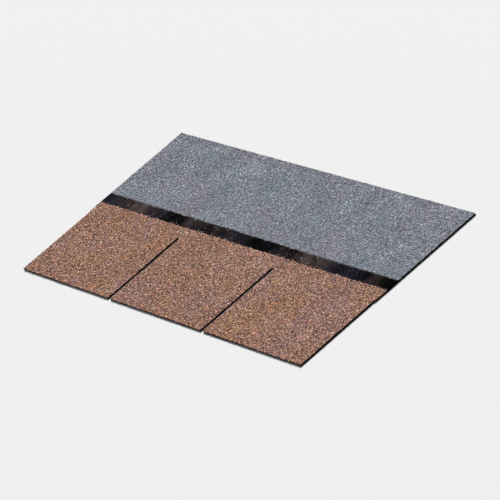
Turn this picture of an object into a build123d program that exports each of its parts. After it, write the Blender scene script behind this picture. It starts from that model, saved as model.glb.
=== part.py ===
from build123d import *
import os

# A three-tab strip shingle lying flat, granule face up.
# The origin is the centre of the underside. +X runs along the strip, +Y from the tabs' butt edge to the top
# edge of the headlap, and +Z is up, out of the granule face. All sizes are in millimetres.

# The strip as it is cut
strip_length = 1000.0
strip_height = 336.0
sheet_thickness = 3.0

# The tabs and the slots between them
tab_count = 3
slot_width = 9.0
slot_depth = 142.0
slot_corner_radius = 1.5
end_relief = 2.5

# The self-seal band, from the butt edge upwards
granule_zone_height = 165.0
band_height = 21.0
band_thickness = 0.6

tab_pitch = strip_length / tab_count
half_length = strip_length / 2
butt_y = -strip_height / 2
top_y = strip_height / 2
slot_top_y = butt_y + slot_depth
band_mid_y = butt_y + granule_zone_height + band_height / 2

# One rolled sheet. The headlap is the full length of the strip, and the tabs' outer edges are set in by the
# end relief, so two strips laid end to end leave a narrow slot between their tabs.
with BuildPart() as shingle_sheet:
    with BuildSketch() as outline:
        with BuildLine():
            Polyline(
                (-half_length + end_relief, butt_y),
                (half_length - end_relief, butt_y),
                (half_length - end_relief, slot_top_y),
                (half_length, slot_top_y),
                (half_length, top_y),
                (-half_length, top_y),
                (-half_length, slot_top_y),
                (-half_length + end_relief, slot_top_y),
                close=True,
            )
        make_face()
        slot_places = [
            ((k - tab_count / 2) * tab_pitch, butt_y + slot_depth / 2) for k in range(1, tab_count)
        ]
        with Locations(*slot_places):
            Rectangle(slot_width, slot_depth, mode=Mode.SUBTRACT)
        # The die leaves a small radius in the two upper corners of each slot.
        slot_corners = [
            v
            for v in outline.vertices()
            if abs(v.Y - slot_top_y) < 0.01 and abs(v.X) < half_length - end_relief - 1
        ]
        fillet(slot_corners, radius=slot_corner_radius)
    extrude(amount=sheet_thickness)
    # The shallow bed of the self-seal band, open at both ends of the strip.
    with BuildSketch(Plane.XY.offset(sheet_thickness)):
        with Locations((0, band_mid_y)):
            Rectangle(strip_length, band_height)
    extrude(amount=-band_thickness, mode=Mode.SUBTRACT)

# The self-seal band itself, filling its bed up to the level of the granules.
with BuildPart() as sealing_strip:
    with BuildSketch(Plane.XY.offset(sheet_thickness - band_thickness)):
        with Locations((0, band_mid_y)):
            Rectangle(strip_length, band_height)
    extrude(amount=band_thickness)

shingle_sheet.part.label = "shingle_sheet"
sealing_strip.part.label = "sealing_strip"

os.makedirs("parts", exist_ok=True)
export_step(shingle_sheet.part, "parts/shingle_sheet.step")
export_step(sealing_strip.part, "parts/sealing_strip.step")
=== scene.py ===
import math

import bpy
import numpy as np
from mathutils import Matrix, Vector


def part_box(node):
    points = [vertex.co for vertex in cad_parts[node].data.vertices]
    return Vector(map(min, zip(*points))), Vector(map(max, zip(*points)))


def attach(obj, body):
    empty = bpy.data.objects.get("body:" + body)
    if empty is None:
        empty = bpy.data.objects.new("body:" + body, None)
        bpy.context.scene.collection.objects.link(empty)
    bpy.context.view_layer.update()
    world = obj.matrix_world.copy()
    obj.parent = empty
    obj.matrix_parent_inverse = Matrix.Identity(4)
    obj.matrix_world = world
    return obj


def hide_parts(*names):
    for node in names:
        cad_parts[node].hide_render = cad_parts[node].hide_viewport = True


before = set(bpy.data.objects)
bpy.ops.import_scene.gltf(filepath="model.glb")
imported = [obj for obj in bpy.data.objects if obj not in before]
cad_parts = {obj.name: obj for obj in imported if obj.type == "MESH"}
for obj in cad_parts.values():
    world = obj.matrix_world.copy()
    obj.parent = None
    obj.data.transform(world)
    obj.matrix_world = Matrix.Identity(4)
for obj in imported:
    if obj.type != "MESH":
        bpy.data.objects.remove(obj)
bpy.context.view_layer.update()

# ---------------------------------------------------------------- sizes, in millimetres, from the frame
MM = 0.001
lo, hi = (np.array(v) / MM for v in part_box("shingle_sheet"))
blo, bhi = (np.array(v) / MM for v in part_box("sealing_strip"))
X0, X1, Y0, Y1 = lo[0], hi[0], lo[1], hi[1]
TOP = hi[2] + 0.06               # the highest granules
BAND_LO, BAND_HI = blo[1], bhi[1]
PITCH = (X1 - X0) / 3
SLOT_W, SLOT_D = 9.0, 142.0
SLOT_TOP = Y0 + SLOT_D
RELIEF = 2.5
SLOTS = (-PITCH / 2, PITCH / 2)
BED = 2.25                       # the bitumen between the granules
ROOT = 2.05                      # how deep the granules are sunk


# ---------------------------------------------------------------- seeded smooth noise
class Noise:
    """Value noise in one or two dimensions, from -1 to 1, the same on every run."""

    def __init__(self, seed, size=256):
        self.size = size
        self.grid = np.random.default_rng(seed).uniform(-1, 1, (size, size))

    def __call__(self, x, y, scale):
        x, y = np.asarray(x, float) / scale, np.asarray(y, float) / scale
        xi, yi = np.floor(x).astype(int), np.floor(y).astype(int)
        fx, fy = x - xi, y - yi
        fx, fy = fx * fx * (3 - 2 * fx), fy * fy * (3 - 2 * fy)
        g, n = self.grid, self.size
        a, b = g[xi % n, yi % n], g[(xi + 1) % n, yi % n]
        c, d = g[xi % n, (yi + 1) % n], g[(xi + 1) % n, (yi + 1) % n]
        return (a * (1 - fx) + b * fx) * (1 - fy) + (c * (1 - fx) + d * fx) * fy


def octaves(noise, x, y, scales, weights):
    return sum(w * noise(x + 37.7 * i, y + 91.3 * i, s) for i, (s, w) in enumerate(zip(scales, weights)))


edge_noise, bed_noise, low_noise, high_noise = Noise(11), Noise(12), Noise(13), Noise(14)


def band_low_edge(x):
    return BAND_LO + octaves(low_noise, x, 0 * x, (60, 11, 3.1), (0.35, 0.55, 0.45))


def band_high_edge(x):
    return BAND_HI + octaves(high_noise, x, 0 * x, (70, 9, 2.7), (0.35, 0.5, 0.4))


# ---------------------------------------------------------------- mesh helpers
def mesh_object(name, verts_mm, faces, sizes=None, attrs=None, uv=None):
    """A mesh object from millimetre vertices. faces is an (n, k) array, or a flat array with sizes."""
    me = bpy.data.meshes.new(name)
    verts = np.asarray(verts_mm, np.float64) * MM
    me.vertices.add(len(verts))
    me.vertices.foreach_set("co", verts.astype(np.float32).ravel())
    if sizes is None:
        faces = np.asarray(faces)
        sizes = np.full(len(faces), faces.shape[1])
        faces = faces.ravel()
    sizes = np.asarray(sizes, np.int32)
    me.loops.add(int(sizes.sum()))
    me.loops.foreach_set("vertex_index", np.asarray(faces, np.int32))
    me.polygons.add(len(sizes))
    me.polygons.foreach_set("loop_start", np.r_[0, np.cumsum(sizes)[:-1]].astype(np.int32))
    me.update(calc_edges=True)
    me.validate()
    for key, values in (attrs or {}).items():
        layer = me.attributes.new(key, "FLOAT", "POINT")
        layer.data.foreach_set("value", np.asarray(values, np.float32))
    if uv is not None:
        layer = me.uv_layers.new(name="OFBake", do_init=False)
        layer.uv.foreach_set("vector", np.asarray(uv, np.float32).ravel())
    ob = bpy.data.objects.new(name, me)
    bpy.context.scene.collection.objects.link(ob)
    return ob


# ---------------------------------------------------------------- the sheet's cut outline
def outline_points(step):
    """The cut outline of the strip, counter-clockwise, with small rounded corners, sampled about every step."""
    corners = [(X0 + RELIEF, Y0, 0.9)]
    for s in SLOTS:
        corners += [
            (s - SLOT_W / 2, Y0, 0.9),
            (s - SLOT_W / 2, SLOT_TOP, 1.6),
            (s + SLOT_W / 2, SLOT_TOP, 1.6),
            (s + SLOT_W / 2, Y0, 0.9),
        ]
    corners += [
        (X1 - RELIEF, Y0, 0.9),
        (X1 - RELIEF, SLOT_TOP, 0.8),
        (X1, SLOT_TOP, 0.8),
        (X1, Y1, 0.7),
        (X0, Y1, 0.7),
        (X0, SLOT_TOP, 0.8),
        (X0 + RELIEF, SLOT_TOP, 0.8),
    ]
    pts = []
    n = len(corners)
    rounded = []
    for i, (x, y, r) in enumerate(corners):
        p = np.array((x, y), float)
        a = np.array(corners[i - 1][:2], float) - p
        b = np.array(corners[(i + 1) % n][:2], float) - p
        r = min(r, 0.45 * np.linalg.norm(a), 0.45 * np.linalg.norm(b))
        a, b = a / np.linalg.norm(a), b / np.linalg.norm(b)
        arc = []
        for t in np.linspace(0, 1, 5):
            # a quadratic blend is close to an arc at this size
            arc.append((1 - t) ** 2 * (p + a * r) + 2 * t * (1 - t) * p + t * t * (p + b * r))
        rounded.append(arc)
    for i in range(n):
        pts += rounded[i]
        a, b = rounded[i][-1], rounded[(i + 1) % n][0]
        k = int(np.linalg.norm(b - a) / step)
        for j in range(1, k):
            pts.append(a + (b - a) * j / k)
    return np.array(pts)


def outward(pts):
    along = np.roll(pts, -1, 0) - np.roll(pts, 1, 0)
    along /= np.linalg.norm(along, axis=1)[:, None]
    return np.stack([along[:, 1], -along[:, 0]], 1)


def inset_of(x, y):
    """How far a point lies inside the cut outline, in millimetres, and less than 0 outside it."""
    head = np.minimum.reduce([x - X0, X1 - x, Y1 - y, np.full_like(x, 1e3)])
    in_tabs = y < SLOT_TOP
    d = np.minimum.reduce([head, np.where(in_tabs, np.minimum(x - X0 - RELIEF, X1 - RELIEF - x), 1e3), y - Y0])
    for s in SLOTS:
        # distance to the slot's rectangle, whose top is at SLOT_TOP
        dx = np.maximum(np.abs(x - s) - SLOT_W / 2, 0)
        dy = np.maximum(y - SLOT_TOP, 0)
        out = np.hypot(dx, dy)
        inside = (np.abs(x - s) < SLOT_W / 2) & in_tabs
        d = np.minimum(d, np.where(inside, -1.0, out))
    return d


# ---------------------------------------------------------------- the sheet itself: bitumen with cut edges
def make_sheet():
    pts = outline_points(1.15)
    nrm = outward(pts)
    arc = np.r_[0, np.cumsum(np.linalg.norm(np.diff(pts, axis=0), axis=1))]
    levels = [0.0, 0.22, 0.75, 1.35, 1.9, BED]
    offs = [0.34, 0.36, 0.16, 0.03, -0.06, -0.3]
    verts = []
    n = len(pts)
    for k, (z, off) in enumerate(zip(levels, offs)):
        # a ragged cut: slow waves along the edge, torn fibres at each level and small nicks
        r = octaves(edge_noise, arc, 0 * arc, (45, 7, 2.3), (0.16, 0.14, 0.12))
        r = r + 0.13 * edge_noise(arc + 311 * k, 17.0 * k + 0 * arc, 1.9)
        r = np.clip(r + off, -0.75, 0.62)
        zz = z + (0.08 * edge_noise(arc, 50 + 9.0 * k + 0 * arc, 2.6) if 0 < k < len(levels) - 1 else 0 * arc)
        verts.append(np.c_[pts + nrm * r[:, None], zz])
    verts = np.concatenate(verts)
    i = np.arange(n)
    j = (i + 1) % n
    faces, sizes = [], []
    for k in range(len(levels) - 1):
        a, b = k * n, (k + 1) * n
        quads = np.stack([a + i, a + j, b + j, b + i], 1)
        faces.append(quads.ravel())
        sizes.append(np.full(n, 4))
    faces += [np.arange(n)[::-1], (len(levels) - 1) * n + np.arange(n)]
    sizes += [[n], [n]]
    ob = mesh_object("shingle_sheet_bitumen", verts, np.concatenate(faces), np.concatenate(sizes))
    # the torn edge is smooth, and the two broad faces are flat
    smooth = np.ones(len(ob.data.polygons), bool)
    smooth[-2:] = False
    ob.data.polygons.foreach_set("use_smooth", smooth)
    return ob


# ---------------------------------------------------------------- the granules
def stones(x, y, r, top, rng, root=ROOT):
    """Crushed-stone shapes, six corners and eight triangles each: a block with a tilted top, or a ridged chip.
    Also says which triangles are the hidden undersides."""
    n = len(x)
    turn = rng.uniform(0, 2 * math.pi, n)
    tall = top - root
    # a block: three corners at the foot, and a tilted three-cornered top turned between them
    block = np.empty((n, 6, 3))
    for k in range(3):
        a = turn + 2 * math.pi / 3 * k + rng.uniform(-0.3, 0.3, n)
        rr = r * rng.uniform(1.1, 1.4, n)
        block[:, k, 0] = x + rr * np.cos(a)
        block[:, k, 1] = y + rr * np.sin(a)
        block[:, k, 2] = root + rng.uniform(-0.04, 0.04, n)
        a = turn + math.pi / 3 + 2 * math.pi / 3 * k + rng.uniform(-0.35, 0.35, n)
        rr = r * rng.uniform(0.62, 1.02, n)
        block[:, k + 3, 0] = x + rr * np.cos(a)
        block[:, k + 3, 1] = y + rr * np.sin(a)
        block[:, k + 3, 2] = top - rng.uniform(0, 0.34, n) * tall * (k > 0)
    tri_block = np.array(
        [(3, 4, 5), (0, 1, 3), (1, 2, 4), (2, 0, 5), (1, 4, 3), (2, 5, 4), (0, 3, 5), (2, 1, 0)]
    )
    # a chip: four corners at the foot and two along a ridge that falls to one side
    chip = np.empty((n, 6, 3))
    for k in range(4):
        a = turn + math.pi / 2 * k + rng.uniform(-0.36, 0.36, n)
        rr = r * rng.uniform(1.0, 1.38, n)
        chip[:, k, 0] = x + rr * np.cos(a)
        chip[:, k, 1] = y + rr * np.sin(a)
        chip[:, k, 2] = root + rng.uniform(-0.04, 0.04, n)
    half = r * rng.uniform(0.3, 0.65, n)
    lean = rng.uniform(-0.28, 0.28, (2, n)) * r
    for k, sign in ((4, 1), (5, -1)):
        chip[:, k, 0] = x + sign * half * np.cos(turn + math.pi / 4) + lean[0]
        chip[:, k, 1] = y + sign * half * np.sin(turn + math.pi / 4) + lean[1]
        chip[:, k, 2] = top - rng.uniform(0, 0.4, n) * tall * (k == 5)
    tri_chip = np.array(
        [(0, 1, 4), (2, 3, 5), (1, 2, 5), (1, 5, 4), (3, 0, 4), (3, 4, 5), (3, 2, 1), (3, 1, 0)]
    )
    is_block = rng.random(n) < 0.62
    verts = np.where(is_block[:, None, None], block, chip)
    tris = np.where(is_block[:, None, None], tri_block[None], tri_chip[None])
    under = np.where(is_block[:, None], np.arange(8)[None] == 7, np.arange(8)[None] >= 6)
    tris = tris + 6 * np.arange(n)[:, None, None]
    return verts.reshape(-1, 3), tris.reshape(-1, 3), under.ravel()


def granule_piece(name, x, y, r, top, rng, root=ROOT, family=None):
    verts, tris, under = stones(x, y, r, top, rng, root)
    verts[:, 2] = np.minimum(verts[:, 2], TOP)
    n = len(x)
    a, b = rng.random(n), rng.random(n)
    if family is not None:
        a = family
    # A flat map of the piece from above for a bake, with the hidden undersides along its lower edge.
    low, span = verts.min(0), np.ptp(verts, axis=0)
    u = (verts[:, 0] - low[0]) / span[0]
    v = (verts[:, 1] - low[1]) / span[1]
    uv = np.stack([u[tris], v[tris]], -1)
    uv[:, :, 1] = np.where(under[:, None], uv[:, :, 1] * 0.04 + 0.002, uv[:, :, 1] * 0.94 + 0.055)
    uv[:, :, 0] = uv[:, :, 0] * 0.996 + 0.002
    ob = mesh_object(
        name,
        verts,
        tris,
        attrs={"grain_a": np.repeat(a, 6), "grain_b": np.repeat(b, 6), "grain_c": np.repeat(rng.random(n), 6)},
        uv=uv.reshape(-1, 2),
    )
    # crushed stone: every facet is flat
    ob.data.polygons.foreach_set("use_smooth", np.zeros(len(ob.data.polygons), bool))
    return ob


def lattice(xa, xb, ya, yb, pitch, rng):
    """A jittered triangular lattice over a rectangle."""
    rows = int(round((yb - ya) / (pitch * 0.866)))
    out = []
    for k in range(rows):
        n = int(round((xb - xa) / pitch))
        xs = xa + (np.arange(n) + 0.5 + (0.25 if k % 2 else -0.25)) * (xb - xa) / n
        ys = np.full(n, ya + (k + 0.5) * (yb - ya) / rows)
        out.append(np.c_[xs, ys])
    p = np.concatenate(out)
    return p + rng.uniform(-0.36, 0.36, p.shape) * pitch


def blended(x, y, cell, rng):
    """A number from 0 to 1 for each granule, spread evenly within each small square, as in a well mixed blend."""
    key = np.floor(x / cell).astype(int) * 10007 + np.floor(y / cell).astype(int)
    order = np.lexsort((rng.random(len(x)), key))
    _, first, count = np.unique(key[order], return_index=True, return_counts=True)
    rank = np.arange(len(x)) - np.repeat(first, count)
    out = np.empty(len(x))
    out[order] = (rank + rng.random(len(x))) / np.repeat(count, count)
    return out


PIECES = []


def make_granules():
    cuts = [X0 - 2, -PITCH / 2, PITCH / 2, X1 + 2]
    names = ("left", "middle", "right")
    pitch = 1.79
    rims = outline_points(1.45)
    rim_out = outward(rims)
    for zone, ya, yb in (("tab", Y0 - 1, BAND_LO + 2.5), ("headlap", BAND_HI - 2.5, Y1 + 1)):
        rng = np.random.default_rng(101 if zone == "tab" else 202)
        p = lattice(X0 - 1, X1 + 1, ya, yb, pitch, rng)
        inset = inset_of(p[:, 0], p[:, 1])
        keep = inset > 1.15
        # the row of granules along every cut edge, some of them cut through or broken away
        rp = rims - rim_out * rng.uniform(0.35, 0.95, len(rims))[:, None]
        rp = rp + rng.uniform(-0.2, 0.2, rp.shape)
        rp = rp[rng.random(len(rp)) < 0.96]
        rp = rp[(rp[:, 1] > ya) & (rp[:, 1] < yb)]
        p = np.concatenate([p[keep], rp])
        rim = np.r_[np.zeros(int(keep.sum()), bool), np.ones(len(rp), bool)]
        if zone == "tab":
            free = p[:, 1] < band_low_edge(p[:, 0]) - 0.7
        else:
            free = p[:, 1] > band_high_edge(p[:, 0]) + 0.4
        # a few bare spots where granules have come off
        bare = rng.random(len(p)) < 0.012
        p, rim = p[free & ~bare], rim[free & ~bare]
        size = np.clip(np.exp(rng.normal(0, 0.24, len(p))), 0.6, 1.5)
        r = 1.07 * size
        r[rim] *= 0.82
        top = BED + 0.22 + 0.6 * rng.random(len(p)) ** 0.8 * np.clip(size, 0.7, 1.05)
        top[rim] = np.maximum(top[rim], BED + 0.45)
        top = np.minimum(top, TOP)
        mixed = blended(p[:, 0], p[:, 1], 11.0, rng)
        for i, part in enumerate(names):
            m = (p[:, 0] >= cuts[i]) & (p[:, 0] < cuts[i + 1])
            ob = granule_piece(f"{zone}_granules_{part}", p[m, 0], p[m, 1], r[m], top[m], rng, family=mixed[m])
            PIECES.append((ob, "mineral_granules", zone))


# ---------------------------------------------------------------- the self-seal band
def make_band():
    nx, ny = 1100, 15
    x = np.linspace(X0 + 0.15, X1 - 0.15, nx)
    t = np.linspace(0, 1, ny)
    X, T = np.meshgrid(x, t, indexing="ij")
    low, high = band_low_edge(x) - 0.5, band_high_edge(x) + 0.5
    Y = low[:, None] + (high - low)[:, None] * T
    Y[:, 1:-1] += 0.25 * bed_noise(X[:, 1:-1], Y[:, 1:-1], 1.7)
    # a low bead with rolled edges, slow swells and fine blisters
    from_edge = np.minimum(Y - low[:, None], high[:, None] - Y)
    lift = np.clip(from_edge / 1.6, 0, 1)
    lift = lift * (2 - lift)
    Z = BED - 0.12 + 0.52 * lift
    Z += lift * octaves(bed_noise, X, Y, (34, 8, 2.9, 1.4), (0.06, 0.06, 0.05, 0.035))
    # the thin ends of the bead, cut with the sheet
    Z = np.clip(Z, BED - 0.12, TOP - 0.12)
    top = np.stack([X, Y, Z], -1).reshape(-1, 3)
    base = top.copy()
    idx = np.arange(nx * ny).reshape(nx, ny)
    quads = np.stack([idx[:-1, :-1], idx[1:, :-1], idx[1:, 1:], idx[:-1, 1:]], -1).reshape(-1, 4)
    # closed below with a flat face, joined along the border
    border = np.r_[idx[:-1, 0], idx[-1, :-1], idx[:0:-1, -1], idx[0, :0:-1]]
    nb = len(border)
    below = base[border].copy()
    below[:, 2] = BED - 0.3
    verts = np.concatenate([top, below])
    i = np.arange(nb)
    j = (i + 1) % nb
    skirt = np.stack([border[j], border[i], len(top) + i, len(top) + j], 1)
    faces = [quads.ravel(), skirt.ravel(), (len(top) + np.arange(nb))[::-1]]
    sizes = [np.full(len(quads), 4), np.full(nb, 4), [nb]]
    ob = mesh_object("sealing_band", verts, np.concatenate(faces), np.concatenate(sizes))
    me = ob.data
    me.polygons.foreach_set("use_smooth", np.r_[np.ones(len(quads), bool), np.zeros(nb + 1, bool)])
    PIECES.append((ob, "sealing_bitumen", "band"))
    return ob


def make_strays():
    """Granules lying in the band and pushed into its two margins."""
    rng = np.random.default_rng(303)
    n = 420
    x = rng.uniform(X0 + 2, X1 - 2, n)
    low, high = band_low_edge(x), band_high_edge(x)
    side = rng.random(n)
    edge = np.abs(rng.normal(0, 1.6, n))
    y = np.where(side < 0.42, low + edge, np.where(side < 0.72, high - edge, rng.uniform(low + 1, high - 1)))
    # some lie in small drifts
    drift = rng.random(n) < 0.35
    centres = rng.uniform(X0 + 20, X1 - 20, 14)
    x[drift] = centres[rng.integers(0, 14, drift.sum())] + rng.normal(0, 9, drift.sum())
    y = np.clip(y, band_low_edge(x) + 0.2, band_high_edge(x) - 0.2)
    r = rng.uniform(0.45, 1.05, n)
    top = np.minimum(BED + 0.42 + 0.45 * rng.random(n), TOP)
    ob = granule_piece("stray_granules", x, y, r, top, rng, root=BED + 0.1)
    PIECES.append((ob, "mineral_granules", "stray"))


# ---------------------------------------------------------------- materials
def tree(name):
    mat = bpy.data.materials.new(name)
    mat.use_nodes = True
    nt = mat.node_tree
    nt.nodes.clear()
    out = nt.nodes.new("ShaderNodeOutputMaterial")
    bsdf = nt.nodes.new("ShaderNodeBsdfPrincipled")
    nt.links.new(bsdf.outputs[0], out.inputs["Surface"])
    return mat, nt, bsdf


def node(nt, kind, **values):
    nd = nt.nodes.new(kind)
    for k, v in values.items():
        if k in ("operation", "blend_type", "data_type", "noise_dimensions", "feature", "distance", "attribute_name",
                 "use_clamp", "clamp", "clamp_factor", "interpolation_type", "normalize", "clamp_result"):
            setattr(nd, k, v)
        else:
            nd.inputs[k].default_value = v
    return nd


def noise_tex(nt, vec, scale, detail=2.0, rough=0.5):
    nd = node(nt, "ShaderNodeTexNoise", Scale=scale, Detail=detail, Roughness=rough)
    nt.links.new(vec, nd.inputs["Vector"])
    return nd


def math_node(nt, op, a, b=None, clamp=False):
    nd = nt.nodes.new("ShaderNodeMath")
    nd.operation = op
    nd.use_clamp = clamp
    for i, v in enumerate((a, b)):
        if v is None:
            continue
        if isinstance(v, (int, float)):
            nd.inputs[i].default_value = v
        else:
            nt.links.new(v, nd.inputs[i])
    return nd.outputs[0]


def remap(nt, value, a, b, c, d):
    nd = nt.nodes.new("ShaderNodeMapRange")
    nt.links.new(value, nd.inputs["Value"])
    for k, v in zip(("From Min", "From Max", "To Min", "To Max"), (a, b, c, d)):
        nd.inputs[k].default_value = v
    return nd.outputs[0]


def ramp(nt, fac, stops, mode="LINEAR"):
    nd = nt.nodes.new("ShaderNodeValToRGB")
    nd.color_ramp.interpolation = mode
    e = nd.color_ramp.elements
    while len(e) > 1:
        e.remove(e[-1])
    e[0].position, e[0].color = stops[0][0], (*stops[0][1], 1)
    for pos, col in stops[1:]:
        k = e.new(pos)
        k.color = (*col, 1)
    nt.links.new(fac, nd.inputs["Fac"])
    return nd.outputs["Color"]


def mix(nt, fac, a, b, kind="MIX"):
    nd = nt.nodes.new("ShaderNodeMix")
    nd.data_type = "RGBA"
    nd.blend_type = kind
    for sock, v in ((nd.inputs[0], fac), (nd.inputs[6], a), (nd.inputs[7], b)):
        if isinstance(v, (int, float)):
            sock.default_value = v
        elif isinstance(v, tuple):
            sock.default_value = (*v, 1)
        else:
            nt.links.new(v, sock)
    return nd.outputs[2]


def granule_material(name, palette, patch, far_patch, tint_a, tint_b, tint_amount, spread, foot_colour, own_tints):
    """palette: (share, colour) from dark to light. Each granule takes one colour, its own lightness and its share
    of the slow colour patches in the blend."""
    mat, nt, bsdf = tree(name)
    coord = nt.nodes.new("ShaderNodeTexCoord").outputs["Object"]
    ga = node(nt, "ShaderNodeAttribute", attribute_name="grain_a").outputs["Fac"]
    gb = node(nt, "ShaderNodeAttribute", attribute_name="grain_b").outputs["Fac"]
    # blend patches move each granule up or down the palette
    slow = noise_tex(nt, coord, 42, 2.0, 0.55).outputs["Fac"]
    mid = noise_tex(nt, coord, 150, 1.0, 0.5).outputs["Fac"]
    broad = noise_tex(nt, coord, 13, 1.0, 0.5).outputs["Fac"]
    shift = math_node(nt, "ADD", remap(nt, slow, 0.25, 0.75, -patch, patch), remap(nt, mid, 0.25, 0.75, -patch, patch))
    shift = math_node(nt, "ADD", shift, remap(nt, broad, 0.3, 0.7, -far_patch, far_patch))
    pick = math_node(nt, "ADD", ga, shift, clamp=True)
    total = sum(w for w, _ in palette)
    at, stops = 0.0, []
    for w, col in palette:
        stops.append((at, col))
        at += w / total
    colour = ramp(nt, pick, stops, "CONSTANT")
    # slow hue patches, warmer and cooler
    near_hue = noise_tex(nt, coord, 48, 3.0, 0.65).outputs["Color"]
    far_hue = noise_tex(nt, coord, 12, 1.0, 0.5).outputs["Color"]
    sep = nt.nodes.new("ShaderNodeSeparateColor")
    nt.links.new(mix(nt, 0.42, near_hue, far_hue), sep.inputs[0])
    warm = remap(nt, sep.outputs[1], 0.42, 0.64, 0.0, tint_amount)
    cool = remap(nt, sep.outputs[2], 0.42, 0.64, 0.0, tint_amount)
    colour = mix(nt, warm, colour, tint_a, "MULTIPLY")
    colour = mix(nt, cool, colour, tint_b, "MULTIPLY")
    # each granule's own tint, from golden through red to violet and green
    gc = node(nt, "ShaderNodeAttribute", attribute_name="grain_c").outputs["Fac"]
    tint = ramp(nt, gc, own_tints, "CONSTANT")
    colour = mix(nt, 1.0, colour, tint, "MULTIPLY")
    # each granule's own lightness, and mineral flecks inside it
    own = remap(nt, gb, 0.0, 1.0, 1 - spread, 1 + spread)
    fleck = noise_tex(nt, coord, 2600, 1.0, 0.5).outputs["Fac"]
    light = math_node(nt, "MULTIPLY", own, remap(nt, fleck, 0.25, 0.75, 0.86, 1.14))
    grey = nt.nodes.new("ShaderNodeCombineColor")
    for k in range(3):
        nt.links.new(light, grey.inputs[k])
    colour = mix(nt, 1.0, colour, grey.outputs[0], "MULTIPLY")
    # each granule's colour goes over to foot_colour at its foot, up to 0.1 mm above the bed
    xyz = nt.nodes.new("ShaderNodeSeparateXYZ")
    nt.links.new(coord, xyz.inputs[0])
    foot = remap(nt, xyz.outputs[2], (BED - 0.05) * MM, (BED + 0.10) * MM, 0.9, 0.0)
    colour = mix(nt, foot, colour, foot_colour)
    nt.links.new(colour, bsdf.inputs["Base Color"])
    rough = remap(nt, gb, 0.0, 1.0, 0.62, 0.92)
    nt.links.new(rough, bsdf.inputs["Roughness"])
    bsdf.inputs["Specular IOR Level"].default_value = 0.12
    bump = node(nt, "ShaderNodeBump", Strength=0.5, Distance=0.00012)
    nt.links.new(noise_tex(nt, coord, 3200, 2.0, 0.6).outputs["Fac"], bump.inputs["Height"])
    nt.links.new(bump.outputs[0], bsdf.inputs["Normal"])
    return mat


BROWN = [
    (0.13, (0.064, 0.040, 0.034)),
    (0.08, (0.145, 0.114, 0.129)),
    (0.19, (0.241, 0.116, 0.085)),
    (0.23, (0.405, 0.208, 0.157)),
    (0.15, (0.566, 0.345, 0.301)),
    (0.14, (0.650, 0.378, 0.230)),
    (0.08, (0.735, 0.531, 0.465)),
]
GREY = [
    (0.14, (0.152, 0.166, 0.194)),
    (0.29, (0.219, 0.240, 0.284)),
    (0.32, (0.284, 0.312, 0.368)),
    (0.16, (0.364, 0.394, 0.457)),
    (0.05, (0.357, 0.320, 0.342)),
    (0.04, (0.561, 0.582, 0.616)),
]
STRAY = [
    (0.25, (0.060, 0.062, 0.072)),
    (0.30, (0.200, 0.212, 0.240)),
    (0.20, (0.300, 0.140, 0.095)),
    (0.15, (0.450, 0.300, 0.220)),
    (0.10, (0.700, 0.700, 0.720)),
]


def stretched(nt, coord, sx, sy, sz=1.0):
    nd = nt.nodes.new("ShaderNodeMapping")
    nd.inputs["Scale"].default_value = (sx, sy, sz)
    nt.links.new(coord, nd.inputs["Vector"])
    return nd.outputs[0]


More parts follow.
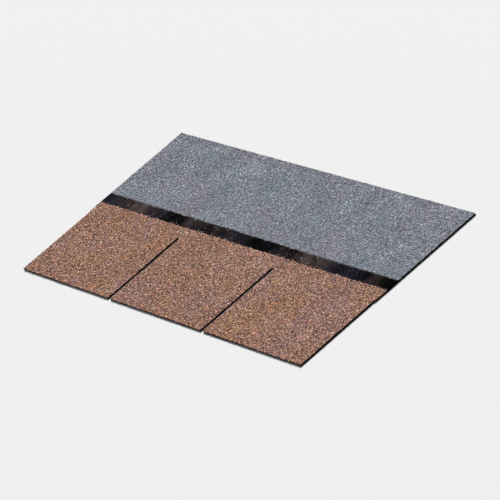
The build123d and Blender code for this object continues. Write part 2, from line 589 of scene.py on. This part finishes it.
def band_material(name):
    """Soft black bitumen: long stretches of black, of violet-black that is a painted reflection, and of dust
    brightened into a painted sheen, with scuffs and blisters.
    """
    mat, nt, bsdf = tree(name)
    coord = nt.nodes.new("ShaderNodeTexCoord").outputs["Object"]
    along = noise_tex(nt, stretched(nt, coord, 1.0, 0.7), 6.5, 3.0, 0.45).outputs["Fac"]
    violet = noise_tex(nt, stretched(nt, coord, 1.0, 0.6, 3.0), 9.0, 2.0, 0.5).outputs["Color"]
    sep = nt.nodes.new("ShaderNodeSeparateColor")
    nt.links.new(violet, sep.inputs[0])
    fine = noise_tex(nt, coord, 520, 3.0, 0.65).outputs["Fac"]
    mid = noise_tex(nt, stretched(nt, coord, 0.6, 1.0), 130, 3.0, 0.6).outputs["Fac"]
    dust_and_sheen = math_node(nt, "MULTIPLY", remap(nt, along, 0.47, 0.66, 0.0, 1.0), remap(nt, mid, 0.3, 0.65, 0.25, 1.0))
    # violet-black stretches: a painted reflection on the bitumen, put in its base colour
    colour = mix(nt, remap(nt, sep.outputs[1], 0.42, 0.66, 0.0, 1.0), (0.0008, 0.0008, 0.0011), (0.0092, 0.0084, 0.0135))
    # dust patches: partly real dust, partly a painted sheen standing in for the bitumen's gloss
    colour = mix(nt, dust_and_sheen, colour, (0.062, 0.044, 0.042))
    # pale scuffs, long and thin, slightly across the band
    rub = nt.nodes.new("ShaderNodeMapping")
    rub.inputs["Rotation"].default_value = (0, 0, 0.5)
    rub.inputs["Scale"].default_value = (0.06, 1.0, 1.0)
    nt.links.new(coord, rub.inputs["Vector"])
    scuff = noise_tex(nt, rub.outputs[0], 1000, 2.0, 0.6).outputs["Fac"]
    scuffed = math_node(nt, "MULTIPLY", remap(nt, scuff, 0.61, 0.74, 0.0, 0.40), remap(nt, mid, 0.47, 0.64, 0.0, 1.0))
    colour = mix(nt, scuffed, colour, (0.080, 0.075, 0.077))
    # fines caught along both margins of the bead, which dull them
    xyz = nt.nodes.new("ShaderNodeSeparateXYZ")
    nt.links.new(coord, xyz.inputs[0])
    off = math_node(nt, "ABSOLUTE", math_node(nt, "SUBTRACT", xyz.outputs[1], (BAND_LO + BAND_HI) / 2 * MM))
    half = (BAND_HI - BAND_LO) / 2
    margin = remap(nt, off, (half - 2.2) * MM, (half - 0.7) * MM, 0.0, 1.0)
    grit = noise_tex(nt, coord, 1500, 2.0, 0.6).outputs["Fac"]
    caught = math_node(nt, "MULTIPLY", margin, remap(nt, grit, 0.52, 0.62, 0.0, 0.6))
    colour = mix(nt, caught, colour, (0.022, 0.017, 0.016))
    nt.links.new(colour, bsdf.inputs["Base Color"])
    rough = math_node(nt, "ADD", remap(nt, dust_and_sheen, 0.0, 1.0, 0.28, 0.55), remap(nt, fine, 0.3, 0.7, -0.05, 0.07), clamp=True)
    rough = math_node(nt, "ADD", rough, math_node(nt, "MULTIPLY", margin, 0.10), clamp=True)
    nt.links.new(rough, bsdf.inputs["Roughness"])
    bsdf.inputs["Specular IOR Level"].default_value = 0.004
    bump = node(nt, "ShaderNodeBump", Strength=0.5, Distance=0.0001)
    skin = math_node(nt, "ADD", fine, math_node(nt, "MULTIPLY", mid, 1.6))
    skin = math_node(nt, "ADD", skin, math_node(nt, "MULTIPLY", math_node(nt, "MULTIPLY", margin, grit), 5.0))
    nt.links.new(skin, bump.inputs["Height"])
    nt.links.new(bump.outputs[0], bsdf.inputs["Normal"])
    return mat


def edge_material(name):
    """The cut through the sheet: black bitumen, torn and dull, with the mat's fibres as thin grey flecks."""
    mat, nt, bsdf = tree(name)
    coord = nt.nodes.new("ShaderNodeTexCoord").outputs["Object"]
    torn = noise_tex(nt, coord, 700, 3.0, 0.65).outputs["Fac"]
    layers = noise_tex(nt, stretched(nt, coord, 0.25, 0.25, 2.4), 1100, 2.0, 0.6).outputs["Fac"]
    colour = mix(nt, remap(nt, torn, 0.5, 0.72, 0.0, 1.0), (0.0055, 0.0052, 0.0055), (0.020, 0.017, 0.017))
    xyz = nt.nodes.new("ShaderNodeSeparateXYZ")
    nt.links.new(coord, xyz.inputs[0])
    mid = math_node(nt, "ABSOLUTE", math_node(nt, "SUBTRACT", xyz.outputs[2], 1.15 * MM))
    in_mat = remap(nt, mid, 0.12 * MM, 0.34 * MM, 1.0, 0.0)
    fibre = math_node(nt, "MULTIPLY", in_mat, remap(nt, layers, 0.60, 0.68, 0.0, 0.55))
    colour = mix(nt, fibre, colour, (0.12, 0.115, 0.105))
    nt.links.new(colour, bsdf.inputs["Base Color"])
    nt.links.new(remap(nt, torn, 0.3, 0.7, 0.62, 0.92), bsdf.inputs["Roughness"])
    bsdf.inputs["Specular IOR Level"].default_value = 0.04
    bump = node(nt, "ShaderNodeBump", Strength=0.9, Distance=0.0003)
    nt.links.new(math_node(nt, "ADD", torn, math_node(nt, "MULTIPLY", layers, 0.7)), bump.inputs["Height"])
    nt.links.new(bump.outputs[0], bsdf.inputs["Normal"])
    return mat


def sand_material(name):
    """The sanded underside: fine grey-brown sand in bitumen with small bright flakes."""
    mat, nt, bsdf = tree(name)
    coord = nt.nodes.new("ShaderNodeTexCoord").outputs["Object"]
    cell = node(nt, "ShaderNodeTexVoronoi", Scale=1900.0)
    nt.links.new(coord, cell.inputs["Vector"])
    sep = nt.nodes.new("ShaderNodeSeparateColor")
    nt.links.new(cell.outputs["Color"], sep.inputs[0])
    slow = noise_tex(nt, coord, 24, 3.0, 0.6).outputs["Fac"]
    pick = math_node(nt, "ADD", sep.outputs[0], remap(nt, slow, 0.3, 0.7, -0.12, 0.12), clamp=True)
    colour = ramp(nt, pick, [
        (0.0, (0.030, 0.028, 0.027)), (0.34, (0.085, 0.078, 0.072)), (0.66, (0.155, 0.142, 0.128)),
        (0.9, (0.300, 0.285, 0.262)), (0.975, (0.620, 0.610, 0.590))], "CONSTANT")
    nt.links.new(colour, bsdf.inputs["Base Color"])
    nt.links.new(remap(nt, sep.outputs[1], 0.0, 1.0, 0.55, 0.95), bsdf.inputs["Roughness"])
    bump = node(nt, "ShaderNodeBump", Strength=0.7, Distance=0.0002)
    nt.links.new(cell.outputs["Distance"], bump.inputs["Height"])
    nt.links.new(bump.outputs[0], bsdf.inputs["Normal"])
    return mat


def bed_material(name):
    """The coating between the granules, full of their fines: brown below the band and slate above it."""
    mat, nt, bsdf = tree(name)
    coord = nt.nodes.new("ShaderNodeTexCoord").outputs["Object"]
    cell = node(nt, "ShaderNodeTexVoronoi", Scale=1500.0)
    nt.links.new(coord, cell.inputs["Vector"])
    sep = nt.nodes.new("ShaderNodeSeparateColor")
    nt.links.new(cell.outputs["Color"], sep.inputs[0])
    brown_fines = ramp(nt, sep.outputs[0], [
        (0.0, (0.020, 0.014, 0.013)), (0.35, (0.080, 0.038, 0.027)), (0.7, (0.190, 0.095, 0.066)),
        (0.93, (0.380, 0.220, 0.165))], "CONSTANT")
    grey_fines = ramp(nt, sep.outputs[0], [
        (0.0, (0.020, 0.020, 0.023)), (0.35, (0.070, 0.074, 0.086)), (0.7, (0.150, 0.158, 0.182)),
        (0.93, (0.300, 0.310, 0.345))], "CONSTANT")
    xyz = nt.nodes.new("ShaderNodeSeparateXYZ")
    nt.links.new(coord, xyz.inputs[0])
    side = math_node(nt, "GREATER_THAN", xyz.outputs[1], (BAND_LO + BAND_HI) / 2 * MM)
    nt.links.new(mix(nt, side, brown_fines, grey_fines), bsdf.inputs["Base Color"])
    bsdf.inputs["Roughness"].default_value = 0.9
    bsdf.inputs["Specular IOR Level"].default_value = 0.15
    bump = node(nt, "ShaderNodeBump", Strength=0.8, Distance=0.0003)
    nt.links.new(cell.outputs["Distance"], bump.inputs["Height"])
    nt.links.new(bump.outputs[0], bsdf.inputs["Normal"])
    return mat


def floor_material():
    mat, nt, bsdf = tree("pale_floor")
    bsdf.inputs["Base Color"].default_value = (0.575, 0.58, 0.59, 1)
    bsdf.inputs["Roughness"].default_value = 0.9
    bsdf.inputs["Specular IOR Level"].default_value = 0.15
    return mat


# ---------------------------------------------------------------- make it
sheet = make_sheet()
make_granules()
make_band()
make_strays()

BROWN_TINTS = [
    (0.0, (1.015, 1.005, 1.0)), (0.30, (1.055, 0.985, 0.84)), (0.47, (1.03, 0.865, 1.0)),
    (0.64, (0.935, 1.085, 0.90)), (0.82, (0.945, 0.965, 1.15)), (0.93, (1.10, 0.89, 0.87))]
GREY_TINTS = [
    (0.0, (1.0, 1.0, 1.0)), (0.45, (1.03, 0.985, 1.005)), (0.65, (0.965, 1.015, 1.015)),
    (0.85, (0.965, 0.98, 1.03)), (0.95, (1.05, 1.0, 0.96))]
NO_TINTS = [(0.0, (1.0, 1.0, 1.0)), (0.8, (1.04, 1.0, 0.96))]
brown = granule_material("brown_granules", BROWN, 0.042, 0.045, (1.03, 0.92, 0.63), (0.92, 0.955, 1.12), 0.78, 0.12,
                         (0.045, 0.020, 0.014), BROWN_TINTS)
grey = granule_material("blue_grey_granules", GREY, 0.055, 0.10, (1.085, 0.925, 0.945), (0.885, 1.03, 1.045), 0.85, 0.06,
                        (0.060, 0.064, 0.074), GREY_TINTS)
stray = granule_material("stray_granules", STRAY, 0.0, 0.0, (1.0, 1.0, 1.0), (1.0, 1.0, 1.0), 0.0, 0.2,
                         (0.02, 0.02, 0.021), NO_TINTS)
edge = edge_material("cut_bitumen")
band = band_material("seal_bitumen")
sand = sand_material("sanded_back")

sheet.data.materials.append(edge)
sheet.data.materials.append(sand)
sheet.data.materials.append(bed_material("granule_bed"))
index = np.zeros(len(sheet.data.polygons), np.int32)
index[-2], index[-1] = 1, 2
sheet.data.polygons.foreach_set("material_index", index)
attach(sheet, "root")
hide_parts("shingle_sheet")
for ob, slot_name, kind in PIECES:
    ob.data.materials.append({"tab": brown, "headlap": grey, "band": band, "stray": stray}[kind])
    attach(ob, "root")
    if kind == "band":
        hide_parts("sealing_strip")
    else:
        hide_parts("shingle_sheet")

# ---------------------------------------------------------------- floor, light and camera
me = bpy.data.meshes.new("studio_floor")
me.from_pydata([(-60, -60, 0), (60, -60, 0), (60, 60, 0), (-60, 60, 0)], [], [(0, 1, 2, 3)])
floor = bpy.data.objects.new("studio_floor", me)
bpy.context.scene.collection.objects.link(floor)
me.materials.append(floor_material())
floor.location.z = -0.0006

world = bpy.data.worlds.new("studio")
bpy.context.scene.world = world
world.use_nodes = True
wt = world.node_tree
background = wt.nodes["Background"]
# a wide soft light overhead, on the key's side, that falls off towards the horizon, and a pale line along the
# horizon behind the floor's far edge
sky_way = wt.nodes.new("ShaderNodeTexCoord").outputs["Generated"]
sky = wt.nodes.new("ShaderNodeSeparateXYZ")
wt.links.new(sky_way, sky.inputs[0])
near_key = wt.nodes.new("ShaderNodeVectorMath")
near_key.operation = "DOT_PRODUCT"
wt.links.new(sky_way, near_key.inputs[0])
near_key.inputs[1].default_value = Vector((-0.50, 0.40, 0.77)).normalized()
glow = remap(wt, near_key.outputs["Value"], 0.25, 0.97, 0.08, 1.10)
glow = math_node(wt, "MULTIPLY", glow, remap(wt, sky.outputs[2], 0.36, 0.82, 0.07, 1.0))
horizon = remap(wt, math_node(wt, "ABSOLUTE", sky.outputs[2]), 0.05, 0.09, 0.88, 0.0)
glow = math_node(wt, "MAXIMUM", glow, horizon)
tone = wt.nodes.new("ShaderNodeCombineColor")
for k, c in enumerate((0.95, 0.97, 1.0)):
    wt.links.new(math_node(wt, "MULTIPLY", glow, c), tone.inputs[k])
wt.links.new(tone.outputs[0], background.inputs["Color"])
background.inputs["Strength"].default_value = 1.0

key = bpy.data.lights.new("key", "SUN")
key.energy = 6.3
key.angle = math.radians(7)
key.color = (1.0, 0.975, 0.94)
key_ob = bpy.data.objects.new("key", key)
bpy.context.scene.collection.objects.link(key_ob)
toward = Vector((-0.64, 0.56, 0.54)).normalized()
key_ob.rotation_mode = "QUATERNION"
key_ob.rotation_quaternion = toward.to_track_quat("Z", "Y")

cam = bpy.data.cameras.new("camera")
cam.sensor_width = 36.0
cam.lens = 394.8
cam.clip_start, cam.clip_end = 0.1, 100
cam_ob = bpy.data.objects.new("camera", cam)
bpy.context.scene.collection.objects.link(cam_ob)
place = Vector((7.288, -2.055, 2.952))
up_hint = Vector((-0.1379, 0.6342, 0.7608))
right0 = Vector((0.4114, 0.7354, -0.5385))
aim = right0 * 0.017 - up_hint * 0.010
back = (place - aim).normalized()
right = up_hint.cross(back).normalized()
up = back.cross(right).normalized()
rot = Matrix((right, up, back)).transposed().to_4x4()
cam_ob.matrix_world = Matrix.Translation(place) @ rot
bpy.context.scene.camera = cam_ob

bpy.context.scene.view_settings.view_transform = "Standard"
bpy.context.scene.view_settings.look = "None"
